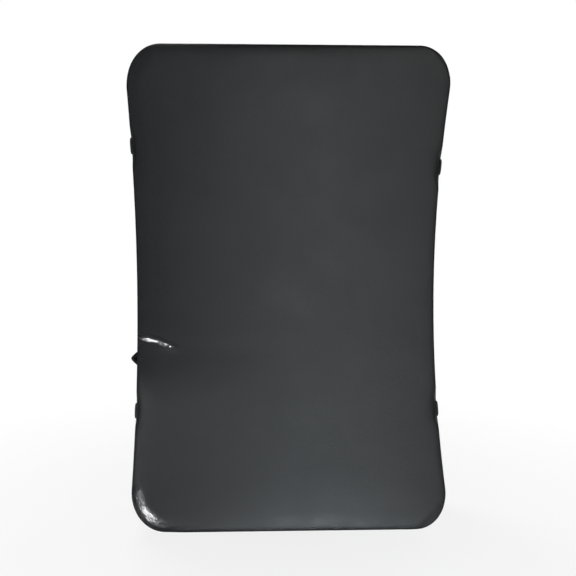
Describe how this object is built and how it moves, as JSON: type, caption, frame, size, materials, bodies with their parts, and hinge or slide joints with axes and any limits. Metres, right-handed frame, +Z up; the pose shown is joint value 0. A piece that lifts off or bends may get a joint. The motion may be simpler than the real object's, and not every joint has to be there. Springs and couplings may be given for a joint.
{
  "type": "curved kick shield",
  "caption": "Curved padded shield in black leather with a hollow strike face, piped seams, forearm straps, swinging hand grips and a zip across the back.",
  "frame": {"origin": "middle of the back panel, between the two hand grips", "axes": "+Z up along the shield, -Y out of the strike face, +Y out of the back, +X to the right as the strike face is looked at"},
  "size_m": [0.4125, 0.2204, 0.5898],
  "materials": {
    "front_leather": "semi-gloss fine-grained black synthetic leather",
    "back_leather": "satin fine-grained black synthetic leather",
    "wall_leather": "satin fine-grained black synthetic leather",
    "sleeve_leather": "satin black synthetic leather over foam",
    "piping": "semi-gloss black vinyl welt",
    "webbing": "black woven webbing",
    "firm_foam": "dark closed-cell foam",
    "soft_foam": "pale open-cell foam",
    "zip_tape": "black woven zip tape",
    "zip_nylon": "black nylon coil",
    "metal": "dark nickel plate"
  },
  "bodies": {
    "shield": {"front_panel": "front_leather", "back_panel_upper": "back_leather", "back_panel_lower": "back_leather", "side_wall_upper": "wall_leather", "side_wall_lower": "wall_leather", "piping_front": "piping", "piping_back": "piping", "core_strike_layer": "firm_foam", "core_back_layer": "firm_foam", "core_middle_front": "soft_foam", "core_middle_rear": "soft_foam", "upper_strap": "webbing", "lower_strap": "webbing", "hanging_loop": "webbing", "left_grip_tab_upper": "webbing", "left_grip_tab_lower": "webbing", "right_grip_tab_upper": "webbing", "right_grip_tab_lower": "webbing", "upper_strap_sleeve": "sleeve_leather", "lower_strap_sleeve": "sleeve_leather", "left_grip_patch_upper": "sleeve_leather", "left_grip_patch_lower": "sleeve_leather", "right_grip_patch_upper": "sleeve_leather", "right_grip_patch_lower": "sleeve_leather", "zip_tape_upper": "zip_tape", "zip_tape_lower": "zip_tape", "zip_chain": "zip_nylon", "zip_stop_left": "metal", "zip_stop_right": "metal", "vent_eyelet_left_upper": "metal", "vent_eyelet_left_lower": "metal", "vent_eyelet_right_upper": "metal", "vent_eyelet_right_lower": "metal"},
    "slider": {"zip_slider": "metal"},
    "pull": {"zip_pull": "metal"},
    "left_grip": {"left_grip_webbing": "webbing", "left_grip_sleeve": "sleeve_leather"},
    "right_grip": {"right_grip_webbing": "webbing", "right_grip_sleeve": "sleeve_leather"}
  },
  "joints": [
    {"name": "zip_slide", "type": "slide", "parent": "shield", "child": "slider", "axis": [-1, 0, 0], "range_m": [0, 0.265]},
    {"name": "zip_pull_swing", "type": "hinge", "parent": "slider", "child": "pull", "pos_m": [0.1325, -0.03463, -0.24646], "axis": [1, 0, 0], "range_deg": [-24, 165]},
    {"name": "left_grip_swing", "type": "hinge", "parent": "shield", "child": "left_grip", "pos_m": [-0.07, 0.0066, 0], "axis": [0, 0, 1], "range_deg": [-65, 65]},
    {"name": "right_grip_swing", "type": "hinge", "parent": "shield", "child": "right_grip", "pos_m": [0.07, 0.0066, 0], "axis": [0, 0, 1], "range_deg": [-65, 65]}
  ]
}
